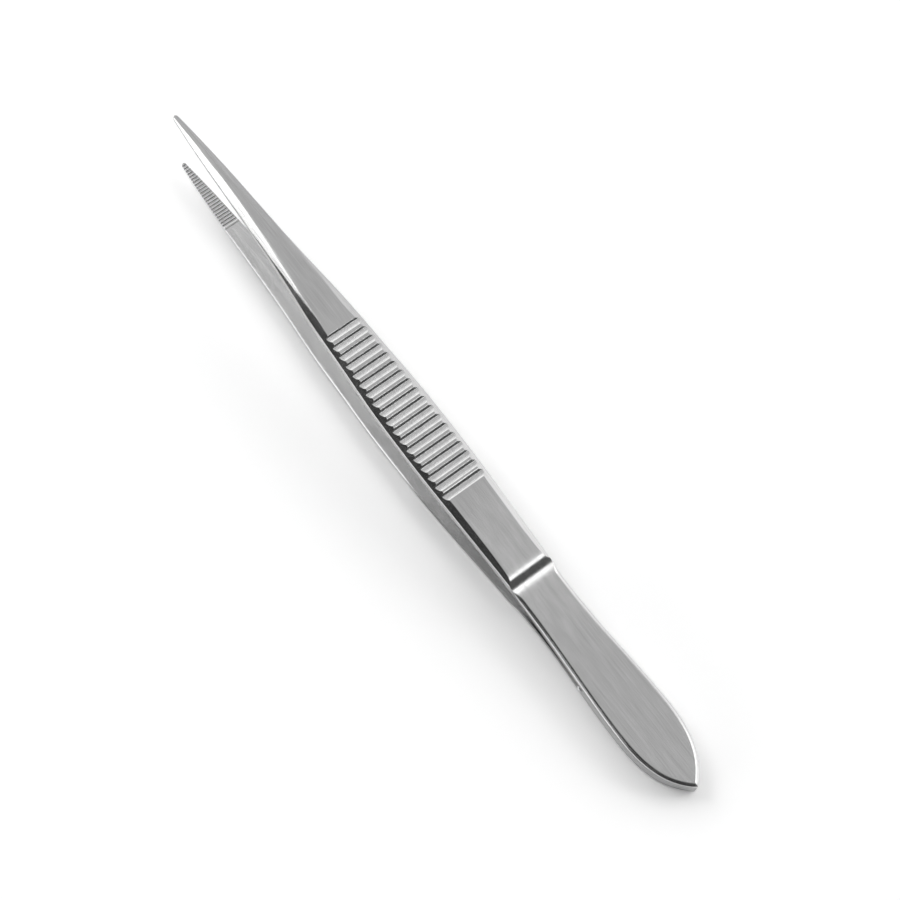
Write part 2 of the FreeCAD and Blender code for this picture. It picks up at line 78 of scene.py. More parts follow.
class ForcepsBladeSizes(bpy.types.PropertyGroup):
    """Sizes of one blade."""
    blade_length: length(115.0, "Blade length", "Tail end to point")
    weld_length: length(19.2, "Weld length", "Flat weld face from the tail end")
    tail_thickness: length(1.7, "Tail thickness", "One blade at the tail")
    tail_width: length(8.2, "Tail width", "Leaf at its widest")
    tail_widest: length(10.7, "Widest place", "From the tail end to the widest place of the leaf")
    spring_thickness: length(1.3, "Spring thickness", "Spring behind the shoulder")
    waist_width: length(6.64, "Waist width", "Narrow place of the spring")
    waist_place: length(31.0, "Waist place", "From the tail end to the waist")
    shoulder_place: length(35.3, "Shoulder place", "From the tail end to the shoulder's top edge")
    shoulder_height: length(3.4, "Shoulder height", "Outer face at the shoulder")
    shoulder_drop: length(0.76, "Shoulder drop", "From the outer face down to the spring")
    shoulder_run: length(1.1, "Shoulder run", "Length of the shoulder's ramp")
    grip_start: length(46.0, "Grip start", "From the tail end to the back of the grip")
    grip_start_height: length(4.55, "Grip start height", "Outer face at the back of the grip")
    grip_middle: length(57.0, "Grip middle", "From the tail end to the widest place of the grip")
    grip_width: length(7.72, "Grip width", "Grip at its widest")
    grip_middle_height: length(5.31, "Grip middle height", "Outer face at the grip's middle")
    neck_place: length(78.0, "Neck place", "From the tail end to the front of the grip")
    neck_width: length(6.1, "Neck width", "Blade at the front of the grip")
    neck_height: length(6.6, "Neck height", "Outer face at the front of the grip")
    taper_place: length(90.0, "Taper place", "From the tail end to the middle of the taper")
    taper_width: length(4.06, "Taper width", "Blade at the middle of the taper")
    taper_height: length(7.1, "Taper height", "Outer face at the middle of the taper")
    jaw_length: length(12.35, "Jaw length", "Toothed jaw from the point back")
    jaw_root_width: length(2.68, "Jaw root width", "Blade at the root of the jaw")
    jaw_root_height: length(7.42, "Jaw root height", "Outer face at the root of the jaw")
    tip_width: length(0.8, "Tip width", "Blade at the point")
    tip_height: length(7.15, "Tip height", "Outer face at the point")
    tip_thickness: length(0.7, "Tip thickness", "One blade at the point")
    blade_thickness: length(1.7, "Blade thickness", "Grip and neck")
    jaw_thickness: length(1.15, "Jaw thickness", "One blade at the root of the jaw")
    jaw_proud: length(0.12, "Jaw proud", "Jaw face in front of the inner face behind it")


class ForcepsEdgeSizes(bpy.types.PropertyGroup):
    """Bevels, rounded edges, flutes and teeth."""
    tail_edge: length(0.45, "Tail edge", "Softened outer edge of the tail, seen from above")
    tail_drop: length(0.34, "Tail drop", "Softened outer edge of the tail, downward")
    tail_point: length(0.22, "Tail point", "Rounding of the leaf's end, seen from above")
    inner_edge: length(0.15, "Inner edge", "Broken edges of the inner face")
    outer_edge: length(0.09, "Outer edge", "Softened edges of the side bevels")
    point_edge: length(0.65, "Point edge", "Softened edges of the point's shallow facets")
    bevel_width: length(1.05, "Bevel width", "Side bevels of the grip, seen from above")
    bevel_drop: length(0.6, "Bevel drop", "Side bevels of the grip, downward")
    tip_bevel: length(0.26, "Tip bevel", "Side bevels at the point")
    flute_width: length(1.36, "Flute width", "One flute on the outer face")
    flute_depth: length(0.3, "Flute depth", "One flute")
    flute_pitch: length(1.56, "Flute pitch", "From one flute to the next")
    flute_start: length(49.0, "Flute start", "From the tail end to the rearmost flute")
    flute_count: IntProperty(name="Flute count", description="Cross flutes", default=18, min=1)
    tooth_pitch: length(0.515, "Tooth pitch", "From one tooth to the next")
    tooth_depth: length(0.17, "Tooth depth", "Groove between two teeth")
    tooth_steep: length(0.2, "Steep flank", "Flank of a tooth that faces the tail")
    tooth_shallow: length(0.29, "Shallow flank", "Flank of a tooth that faces the point")
    tooth_count: IntProperty(name="Tooth count", description="Cross teeth of a jaw", default=23,
                             min=1)
    weld_bead: length(0.5, "Weld bead", "Width of the bead at the front of the weld")
    shallow_angle: FloatProperty(name="Facet angle", default=20.0, min=5.0, max=40.0,
                                 description="Fall of the point's shallow facets, in degrees")


class ForcepsFinish(bpy.types.PropertyGroup):
    """Colours of the steel and the paper."""
    steel: tint(0xCBCBCB, "Steel", "Brushed steel seen straight on")
    table: tint(0xF6F6F6, "Table", "Pale paper under the forceps")


# Meshes and nodes

# Widths, in millimetres along the blade, of the point's shallow facets and of the grip's bevels
FACETS = {
    "shallow_places": (77.5, 81, 86, 91, 97, 103, 110, 115),
    "shallow_widths": (0, 0.3, 0.66, 0.92, 1.0, 0.9, 0.55, 0.1),
    "steep_places": (76, 79, 83.5, 89, 94, 116),
    "steep_widths": (1.05, 0.92, 0.5, 0.18, 0.06, 0.05),
}


def in_mm(group):
    """The group's values as a name space: lengths in millimetres, counts and angles as they
    are, and the widths of the facets."""
    values = dict(FACETS)
    for name in group.__annotations__:
        value = getattr(group, name)
        plain = isinstance(value, int) or name.endswith("angle")
        values[name] = value if plain else value * 1000
    return type("Sizes", (), values)


def cubic_curve(poles, count=600):
    """Points of a cubic curve with clamped, evenly spaced knots, from its control points. Each
    basis function is built by the two-term recurrence over the knots, for all points at once."""
    poles = np.array(poles, float)
    spans = len(poles) - 3
    knots = np.concatenate([np.zeros(3), np.linspace(0, 1, spans + 1), np.ones(3)])
    t = np.linspace(0, 1, count)
    last = np.clip(np.searchsorted(knots, t, side="right") - 1, 3, len(poles) - 1)
    basis = (np.arange(len(knots) - 1)[:, None] == last).astype(float)
    for degree in (1, 2, 3):
        left, right = knots[:-degree - 1], knots[degree + 1:]
        gap = knots[degree:-1] - left
        next_gap = right - knots[1:-degree]
        rise = (gap > 0)[:, None] * (t - left[:, None]) / np.maximum(gap, 1e-9)[:, None]
        fall = (next_gap > 0)[:, None] * (right[:, None] - t) \
            / np.maximum(next_gap, 1e-9)[:, None]
        basis = rise * basis[:-1] + fall * basis[1:]
    return basis.T @ poles


def smooth_through(x, places, values):
    """A curve of value over x through the given places: natural cubic pieces whose second
    derivatives match where they meet, from one linear system for those derivatives."""
    places, values = np.array(places, float), np.array(values, float)
    step = np.diff(places)
    count = len(places)
    system = np.eye(count)
    inner = np.arange(1, count - 1)
    system[inner, inner - 1] = step[:-1]
    system[inner, inner] = 2 * (step[:-1] + step[1:])
    system[inner, inner + 1] = step[1:]
    goal = np.zeros(count)
    goal[1:-1] = 6 * np.diff(np.diff(values) / step)
    bend = np.linalg.solve(system, goal)
    k = np.clip(np.searchsorted(places, x) - 1, 0, count - 2)
    h, a, b = step[k], places[k + 1] - x, x - places[k]
    return (bend[k] * a ** 3 + bend[k + 1] * b ** 3) / (6 * h) \
        + (values[k] / h - bend[k] * h / 6) * a + (values[k + 1] / h - bend[k + 1] * h / 6) * b


def fade(x, start, end):
    """0 before start, 1 after end, and 3t^2 - 2t^3 between them."""
    t = np.clip((x - start) / (end - start), 0, 1)
    return t * t * (3 - 2 * t)


def corner(before, point, after, size, steps):
    """Rounds a corner of every section at once: a quadratic curve that leaves the line from
    `before` and joins the line to `after` at the distance `size` from the corner point."""
    def toward(end):
        line = end - point
        reach = np.linalg.norm(line, axis=-1, keepdims=True)
        return point + line * np.minimum(size[:, None] / np.maximum(reach, 1e-9), 0.45)
    first, last = toward(before), toward(after)
    t = np.linspace(0, 1, steps)[:, None, None]
    return (1 - t) ** 2 * first + 2 * t * (1 - t) * point + t * t * last


def skin(name, rings, material, uv, shares=None):
    """A closed skin over rings of points, rings[i, j] in metres: quads between neighbouring rings
    and round each ring, and one cap at each end. uv[i, j] becomes the map "brush", and each entry
    of shares, such as cut[i, j], a number kept at the points under its name."""
    count, around = rings.shape[:2]
    index = np.arange(count * around).reshape(count, around)
    ahead = np.roll(index, -1, axis=1)
    quads = np.stack([index[:-1], ahead[:-1], ahead[1:], index[1:]], axis=-1).reshape(-1, 4)
    caps = np.concatenate([index[0][::-1], index[-1]])
    loops = np.concatenate([quads.ravel(), caps])
    totals = np.concatenate([np.full(len(quads), 4), [around, around]])
    starts = np.concatenate([[0], np.cumsum(totals)[:-1]])
    mesh = bpy.data.meshes.new(name)
    mesh.vertices.add(count * around)
    mesh.vertices.foreach_set("co", rings.astype(np.float32).ravel())
    mesh.loops.add(len(loops))
    mesh.loops.foreach_set("vertex_index", loops.astype(np.int32))
    mesh.polygons.add(len(totals))
    mesh.polygons.foreach_set("loop_start", starts.astype(np.int32))
    mesh.polygons.foreach_set("loop_total", totals.astype(np.int32))
    mesh.polygons.foreach_set("use_smooth", np.ones(len(totals), bool))
    layer = mesh.uv_layers.new(name="brush")
    layer.data.foreach_set("uv", uv.reshape(-1, 2)[loops].astype(np.float32).ravel())
    # cut and polish set the steel's roughness; the third share is painted shading on its colour,
    # darker for painted shade and lighter under 0 for painted light
    for kind in ("cut", "polish", "dull"):
        share = (shares or {}).get(kind, np.zeros(count * around))
        mesh.attributes.new(kind, "FLOAT", "POINT").data.foreach_set(
            "value", share.astype(np.float32).ravel())
    mesh.update(calc_edges=True)
    mesh.validate()
    mesh.materials.append(material)
    piece = bpy.data.objects.new(name, mesh)
    bpy.context.scene.collection.objects.link(piece)
    return piece


def add_node(tree, kind, values=None, links=None, **settings):
    """Adds a node, with its settings, socket values and links from other nodes' outputs."""
    node = tree.nodes.new(kind)
    for name, value in settings.items():
        setattr(node, name, value)
    for name, value in (values or {}).items():
        node.inputs[name].default_value = value
    for name, output in (links or {}).items():
        tree.links.new(output, node.inputs[name])
    return node


def new_material(name):
    """An empty node material and its tree."""
    material = bpy.data.materials.get(name) or bpy.data.materials.new(name)
    material.use_nodes = True
    material.node_tree.nodes.clear()
    return material, material.node_tree


# Materials

def brushed_stainless_steel(finish):
    """Surgical stainless steel, ground along the blade and then satin-finished. The grit leaves
    fine parallel lines of 0.03 mm along the blade, which spread the reflections across it and keep
    them tight along it. They are drawn 0.11 mm wide, because finer ones don't show."""
    material, tree = new_material("brushed_stainless_steel")
    lines = add_node(tree, "ShaderNodeUVMap", uv_map="brush")
    # 0.11 mm across by 7 mm along, with the map in metres
    fine = add_node(tree, "ShaderNodeMapping", {"Scale": (1 / 0.007, 1 / 0.00011, 1)},
                    {"Vector": lines.outputs["UV"]})
    scratch = add_node(tree, "ShaderNodeTexNoise", {"Scale": 1.0, "Detail": 2.0, "Roughness": 0.6},
                       {"Vector": fine.outputs["Vector"]}, noise_dimensions="2D")
    # Uneven satin: soft clouds 5 mm long and 1.2 mm wide
    broad = add_node(tree, "ShaderNodeMapping", {"Scale": (1 / 0.005, 1 / 0.0012, 1)},
                     {"Vector": lines.outputs["UV"]})
    cloud = add_node(tree, "ShaderNodeTexNoise", {"Scale": 1.0, "Detail": 3.0, "Roughness": 0.55},
                     {"Vector": broad.outputs["Vector"]}, noise_dimensions="2D")
    satin = add_node(tree, "ShaderNodeMapRange",
                     {"From Min": 0.25, "From Max": 0.75, "To Min": 0.21, "To Max": 0.27},
                     {"Value": cloud.outputs["Fac"]})
    # The flutes keep the cutter's even floor, and the grip's side bevels are buffed brighter
    cut = add_node(tree, "ShaderNodeAttribute", attribute_name="cut")
    polish = add_node(tree, "ShaderNodeAttribute", attribute_name="polish")
    milled = add_node(tree, "ShaderNodeMix", {"B": 0.21},
                      {"Factor": cut.outputs["Fac"], "A": satin.outputs["Result"]})
    rough = add_node(tree, "ShaderNodeMix", {"B": 0.16},
                     {"Factor": polish.outputs["Fac"], "A": milled.outputs["Result"]})
    # Chatter of the cutter on the flutes' floors: pits of 0.14 mm, up and down about the floor
    place = add_node(tree, "ShaderNodeTexCoord")
    pits = add_node(tree, "ShaderNodeTexNoise", {"Scale": 7000.0, "Detail": 1.0},
                    {"Vector": place.outputs["Object"]})
    level_pits = add_node(tree, "ShaderNodeMath", {1: -0.5}, {0: pits.outputs["Fac"]})
    chatter = add_node(tree, "ShaderNodeMath", None,
                       {0: level_pits.outputs["Value"], 1: cut.outputs["Fac"]},
                       operation="MULTIPLY")
    pitted = add_node(tree, "ShaderNodeBump", {"Strength": 0.55, "Distance": 0.00005},
                      {"Height": chatter.outputs["Value"]})
    bump = add_node(tree, "ShaderNodeBump", {"Strength": 0.5, "Distance": 0.000012},
                    {"Height": scratch.outputs["Fac"], "Normal": pitted.outputs["Normal"]})
    # Each fine line has its own shade
    tone = add_node(tree, "ShaderNodeMapRange",
                    {"From Min": 0.3, "From Max": 0.7, "To Min": 0.88, "To Max": 1.0},
                    {"Value": scratch.outputs["Fac"]})
    # Painted shade: narrow sides and the seam, where shade falls, are darker by three quarters of
    # the share; where the share is under 0 the colour is lighter, painted light
    dull = add_node(tree, "ShaderNodeAttribute", attribute_name="dull")
    shade = add_node(tree, "ShaderNodeMath", {1: -0.75, 2: 1.0}, {0: dull.outputs["Fac"]},
                     operation="MULTIPLY_ADD")
    # The clouds and the flutes' floors are a little lighter
    haze = add_node(tree, "ShaderNodeMath", {1: 0.12},
                    {0: cloud.outputs["Fac"], 2: tone.outputs["Result"]}, operation="MULTIPLY_ADD")
    bright = add_node(tree, "ShaderNodeMath", {1: 0.1},
                      {0: cut.outputs["Fac"], 2: haze.outputs["Value"]}, operation="MULTIPLY_ADD")
    level = add_node(tree, "ShaderNodeMath", None,
                     {0: bright.outputs["Value"], 1: shade.outputs["Value"]}, operation="MULTIPLY")
    colour = add_node(tree, "ShaderNodeVectorMath", {0: tuple(finish.steel)},
                      {"Scale": level.outputs["Value"]}, operation="SCALE")
    shader = add_node(tree, "ShaderNodeBsdfPrincipled", {"Metallic": 1.0},
                      {"Base Color": colour.outputs["Vector"], "Roughness": rough.outputs["Result"],
                       "Normal": bump.outputs["Normal"]})
    add_node(tree, "ShaderNodeOutputMaterial", None, {"Surface": shader.outputs["BSDF"]})
    return material


def matt_paper(finish):
    """Matt white paper. Its fibres spread all light evenly, so it shows only the soft shadow. The
    camera and the steel see it half as bright again, near white, with that shadow. Its grain is
    about 1 mm wide, coarser than real fibres, because finer grain doesn't show."""
    material, tree = new_material("matt_white_paper")
    place = add_node(tree, "ShaderNodeTexCoord")
    grain = add_node(tree, "ShaderNodeTexNoise", {"Scale": 900.0, "Detail": 2.0},
                     {"Vector": place.outputs["Object"]})
    bump = add_node(tree, "ShaderNodeBump", {"Strength": 0.05, "Distance": 0.00002},
                    {"Height": grain.outputs["Fac"]})
    seen = add_node(tree, "ShaderNodeLightPath")
    either = add_node(tree, "ShaderNodeMath", None,
                      {0: seen.outputs["Is Camera Ray"], 1: seen.outputs["Is Glossy Ray"]},
                      operation="MAXIMUM")
    any_ray = add_node(tree, "ShaderNodeMath", None,
                       {0: either.outputs["Value"], 1: seen.outputs["Is Transmission Ray"]},
                       operation="MAXIMUM")
    gain = add_node(tree, "ShaderNodeMath", {1: 0.5, 2: 1.0}, {0: any_ray.outputs["Value"]},
                    operation="MULTIPLY_ADD")
    white = add_node(tree, "ShaderNodeVectorMath", {0: tuple(finish.table)},
                     {"Scale": gain.outputs["Value"]}, operation="SCALE")
    paper = add_node(tree, "ShaderNodeBsdfDiffuse", None,
                     {"Color": white.outputs["Vector"], "Normal": bump.outputs["Normal"]})
    add_node(tree, "ShaderNodeOutputMaterial", None, {"Surface": paper.outputs["BSDF"]})
    return material


# The blade

# Lean of the pair on its tail and belly, and its shift in the row frame, in millimetres
LEAN = math.radians(3.4786)
SHIFT = (-57.5651, 1.7853)
# The shoulder's ramp: places in millimetres from its top edge, and shares of its height
RAMP = ((-2.8, 0), (-2.2, 0), (-1.6, 0.05), (-1.0, 0.22), (-0.62, 0.5), (-0.3, 0.77),
        (0.1, 0.92), (0.62, 1), (1.4, 1))
# One flute across its width, from the tail side (-1) to the point side (1), and its depth there
# as a share of the deepest
FLUTE_SHARES = (-1.02, -0.80, -0.40, 0.12, 0.36, 0.70, 1.16)
FLUTE_DEPTHS = (0.0, 0.42, 0.72, 0.95, 1.0, 0.27, 0.0)
# The rounded leaf's end, as a share of its radius from where the leaf's sides would meet
LEAF_END = 0.325
# Least sizes in millimetres: half a width, a bevel, the wall between the edges, a step down
LEAST_HALF_WIDTH, LEAST_BEVEL, LEAST_WALL, LEAST_STEP = 0.004, 0.04, 0.25, 0.02
# Relief of the inner face just ahead of the weld, in millimetres
SEAM_RELIEF = 0.16
# Between these places, in millimetres from the tail end, the leaf's rounding narrows, the broken
# inner edges grow and the point's edges grow softer
LEAF_END_FADE, INNER_EDGE_FADE, POINT_EDGE_FADE = (1, 7), (54, 58), (78, 86)
# More rounding, in millimetres: of the leaf's end, of the tail's top and side, of the grip's side
LEAF_END_MORE, TAIL_TOP_MORE, TAIL_SIDE_MORE, GRIP_SIDE_MORE = 0.08, 0.12, 0.05, 0.08
# Neighbouring sections over which the start of the shallow facets is evened out
EVENED = 17
# Fall of the point's steep bevel for its width
STEEP_FALL = 0.57
# Points of a half section, from the middle of the outer face, at which these stretches start
FACET, BEVEL, THIRD_CORNER, WALL, FOURTH_CORNER, INNER_FACE = 11, 20, 22, 26, 29, 39
# Depths of a flute, in millimetres, between which the cutter's finish fades in
CUT_DEPTHS = (0.05, 0.12)
# Shine of the grip's side bevels, then the places, in millimetres from the tail end, between which
# painted shade and painted light fade on the lower blade, and the painted shade of each face. Under
# 0 a face is brighter, with painted light.
BEVEL_POLISH = 0.3
LOWER_SIDE_FADE, LOWER_INNER_FADE, LIT_FADE, LIT_POINT_FADE = (52, 57), (29, 33), (42, 50), (70, 84)
PAINTED_SHADING_LEVELS = {"weld_rim": 1.05, "weld_side": 0.5, "seam_rim": 0.5, "seam_side": 1.0, "grip_side": 0.4,
        "point_side": 0.5, "lower_side": 1.0, "lower_inner": -0.5, "lower_point": 0.3}
# The weld bead, in millimetres: how far it lies behind the weld's front, reaches either way along
# the seam and sinks into it
BEAD_BACK, BEAD_REACH, BEAD_SUNK = 0.1, 0.45, 0.02


def to_row(points, turned):
    """Lays blade points, in millimetres, in the row frame, in metres. The lower blade is turned
    half a turn about X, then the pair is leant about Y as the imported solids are, which rest on
    Z = 0."""
    x, y, z = points[..., 0], points[..., 1], points[..., 2]
    if turned:
        y, z = -y, -z
    return np.stack([x * math.cos(LEAN) - z * math.sin(LEAN) + SHIFT[0], y,
                     x * math.sin(LEAN) + z * math.cos(LEAN) + SHIFT[1]], axis=-1) / 1000


def shared_places(s):
    """Places that several curves share: the jaw's root, a place between taper and jaw, the back
    of the spring, and the height of the inner face at the waist."""
    root = s.blade_length - s.jaw_length
    return (root, s.taper_place * 0.45 + root * 0.55, s.weld_length * 0.58 + s.waist_place * 0.42,
            (s.shoulder_height - s.shoulder_drop) * 0.38)


def stations(s, e):
    """Places along the blade, in millimetres, closer together where the shape turns quickly: the
    rounded ends, the shoulder, the flutes and the teeth."""
    root = s.blade_length - s.jaw_length
    radius = s.tip_width / 2
    flutes_end = e.flute_start + e.flute_count * e.flute_pitch
    apex = LEAF_END * e.tail_point
    arc = (1 - np.cos(np.linspace(0.02, math.pi / 2, 12)))
    # Start, end and step of each stretch: leaf, spring, shoulder, grip behind the flutes, flutes,
    # taper, root of the jaw and teeth
    stretches = (
        (0.5, 3, 0.12), (3, 33, 0.3), (33, 36.4, 0.06), (36.4, e.flute_start - 1, 0.3),
        (e.flute_start - 1, flutes_end, e.flute_pitch / 26), (flutes_end, root - 0.4, 0.25),
        (root - 0.4, root + 0.2, 0.03),
        (root + 0.2, s.blade_length - radius, e.tooth_pitch / 12))
    rows = [np.arange(*stretch) for stretch in stretches]
    leaf_end, tip = apex + arc * e.tail_point * 0.5, s.blade_length - arc * radius
    return np.unique(np.round(np.concatenate([leaf_end, *rows, tip]), 4))


def half_width(x, s, e):
    """Plan outline: half the blade's width over x. Four cubic curves run from the tail's end to
    the point, the point is a half circle, and the leaf's end is rounded by a circle that touches
    both its sides. Control points between two named places lie at shares of the way."""
    root = s.blade_length - s.jaw_length
    tail, waist, grip = s.tail_width / 2, s.waist_width / 2, s.grip_width / 2
    round_place = s.blade_length - s.tip_width / 2
    curves = [
        [(0, 0), (s.tail_widest * 0.2, tail * 0.6), (s.tail_widest * 0.45, tail),
         (s.tail_widest, tail)],
        [(s.tail_widest, tail), (s.tail_widest * 0.66 + s.waist_place * 0.34, tail),
         (s.tail_widest * 0.4 + s.waist_place * 0.6, waist), (s.waist_place, waist)],
        [(s.waist_place, waist), (s.waist_place * 0.73 + s.grip_middle * 0.27, waist),
         (s.waist_place * 0.38 + s.grip_middle * 0.62, grip), (s.grip_middle, grip)],
        [(s.grip_middle, grip), (s.grip_middle * 0.67 + s.neck_place * 0.33, grip),
         (s.grip_middle * 0.33 + s.neck_place * 0.67, s.grip_width * 0.15 + s.neck_width * 0.353),
         (s.neck_place, s.neck_width / 2 + 0.1),
         (s.neck_place * 0.33 + s.taper_place * 0.67, s.taper_width / 2 + 0.24),
         (s.taper_place * 0.63 + root * 0.37, (s.taper_width + s.jaw_root_width) / 4),
         (root, s.jaw_root_width / 2),
         (s.blade_length * 0.6 + root * 0.4, (s.jaw_root_width + s.tip_width) / 4),
         (round_place, s.tip_width / 2)],
    ]
    line = np.concatenate([cubic_curve(poles) for poles in curves])
    width = np.interp(x, line[:, 0], line[:, 1])
    slope = math.atan2(tail * 0.6, s.tail_widest * 0.2)
    centre = e.tail_point / math.sin(slope)
    touch = centre - e.tail_point * math.sin(slope)
    ball = np.sqrt(np.maximum(e.tail_point ** 2 - (x - centre) ** 2, 0))
    width = np.where(x < touch, ball, width)
    tip = np.sqrt(np.maximum((s.tip_width / 2) ** 2 - (x - round_place) ** 2, 0))
    return np.maximum(np.where(x > round_place, tip, width), LEAST_HALF_WIDTH)


def inner_height(x, s, e):
    """Inner face over x: flat at the weld, a short relief ahead of it, an opening curve to the
    jaw, then the jaw's straight line with lopsided triangular grooves between its teeth."""
    root, fore, spring_back, waist_inner = shared_places(s)
    jaw_inner = s.jaw_root_height - s.jaw_thickness
    tip_inner = s.tip_height - s.tip_thickness
    curve = cubic_curve([
        (s.weld_length, 0), (spring_back, 0), (s.waist_place, waist_inner),
        (s.shoulder_place + 3, s.shoulder_height + 0.45 - s.blade_thickness),
        (s.grip_start, s.grip_start_height - s.blade_thickness + 0.1),
        (s.grip_middle, s.grip_middle_height - s.blade_thickness),
        ((s.neck_place + s.grip_middle) / 2,
         (s.neck_height + s.grip_middle_height) / 2 - s.blade_thickness),
        (s.neck_place, s.neck_height - s.blade_thickness - 0.1),
        (s.taper_place, s.taper_height - s.blade_thickness * 0.88),
        (fore, jaw_inner * 0.7 + (s.taper_height - s.blade_thickness * 0.9) * 0.3),
        (root - s.jaw_proud, jaw_inner + s.jaw_proud)], 1500)
    places = np.concatenate([[-1], curve[:, 0], [root, s.blade_length]])
    heights = np.concatenate([[0], curve[:, 1], [jaw_inner, tip_inner]])
    height = np.interp(x, places, heights)
    height = height + SEAM_RELIEF * fade(x, s.weld_length, s.weld_length + 0.5) \
        * (1 - fade(x, s.weld_length + 3, s.waist_place))
    number = (s.blade_length - e.tooth_pitch - x) / e.tooth_pitch
    nearest = np.clip(np.round(number), 0, e.tooth_count - 1)
    ahead = (nearest - number) * e.tooth_pitch
    away = np.where(ahead > 0, ahead / e.tooth_steep, -ahead / e.tooth_shallow)
    groove = e.tooth_depth * np.clip(1 - away, 0, None)
    return height + groove


def blank_sizes(x, s, e):
    """Outer height, half width of the flat outer face, and slope of the side bevels over x, as
    smooth curves through the sections of the blank."""
    root, fore, _, _ = shared_places(s)
    # Place, half width, outer height, and the bevel's width and drop
    rows = np.array([
        (s.waist_place, s.waist_width / 2 + 0.25, s.shoulder_height - 0.43, 0.6, 0.4),
        (s.shoulder_place + 2, s.waist_width / 2 + 0.12, s.shoulder_height + 0.22, 0.75,
         e.bevel_drop * 0.8),
        (s.grip_start, s.waist_width * 0.15 + s.grip_width * 0.35, s.grip_start_height,
         e.bevel_width * 0.9, e.bevel_drop * 0.95),
        (s.grip_middle, s.grip_width / 2, s.grip_middle_height, e.bevel_width, e.bevel_drop),
        ((s.grip_middle + s.neck_place) / 2, s.grip_width * 0.31 + s.neck_width * 0.19,
         (s.grip_middle_height + s.neck_height) / 2, e.bevel_width, e.bevel_drop),
        (s.neck_place, s.neck_width / 2, s.neck_height, e.bevel_width, e.bevel_drop),
        (s.taper_place, s.taper_width / 2, s.taper_height, e.bevel_width * 0.74, e.bevel_drop),
        (fore, s.taper_width * 0.2 + s.jaw_root_width * 0.3,
         s.taper_height * 0.3 + s.jaw_root_height * 0.7, e.bevel_width * 0.6,
         e.bevel_drop * 0.95),
        (root, s.jaw_root_width / 2, s.jaw_root_height, e.tip_bevel + 0.22, e.tip_bevel + 0.24),
        (s.blade_length - s.jaw_length / 2, s.jaw_root_width * 0.26 + s.tip_width * 0.24,
         s.jaw_root_height * 0.55 + s.tip_height * 0.45, e.tip_bevel + 0.12, e.tip_bevel + 0.14),
        (s.blade_length + 0.5, s.tip_width / 2, s.tip_height, e.tip_bevel, e.tip_bevel),
    ]).T
    places, half, height, bevel, drop = rows
    return (smooth_through(x, places, height), smooth_through(x, places, half - bevel),
            smooth_through(x, places, drop / bevel))


def flute_depth(x, s, e):
    """Depth of the flutes over x, in a row along the rising grip: the depth at each share of the
    half width, on straight lines between the table's values, steeper toward the point."""
    rise = (s.neck_height - s.grip_start_height) / (s.neck_place - s.grip_start)
    run = e.flute_pitch / math.hypot(1, rise)
    number = np.clip(np.round((x - e.flute_start) / run), 0, e.flute_count - 1)
    share = (x - e.flute_start - number * run) / (e.flute_width / 2)
    return e.flute_depth * np.interp(share, FLUTE_SHARES, FLUTE_DEPTHS)


def outer_height(x, blank, s, e):
    """Outer face over x: the blank, thinned over the tail up to the smooth shoulder, cut by the
    flutes and worn flat where the blade lies on the table."""
    _, _, spring_back, waist_inner = shared_places(s)
    foot = s.shoulder_place - s.shoulder_run
    foot_height = s.shoulder_height - s.shoulder_drop - 0.05
    spring = cubic_curve([(s.weld_length, s.tail_thickness), (spring_back, s.tail_thickness),
                          (s.waist_place, waist_inner + s.spring_thickness - 0.05),
                          (foot - 0.5, foot_height)])
    low_side = np.interp(x, [-1, *spring[:, 0], foot + 3],
                         [s.tail_thickness, *spring[:, 1], foot_height + 0.35])
    ramp = cubic_curve(RAMP)
    climb = np.interp(x - s.shoulder_place, ramp[:, 0], ramp[:, 1])
    height = low_side * (1 - climb) + blank * climb
    height = height - flute_depth(x, s, e)
    worn = (x * math.sin(LEAN) + SHIFT[1]) / math.cos(LEAN)
    return np.minimum(height, worn)


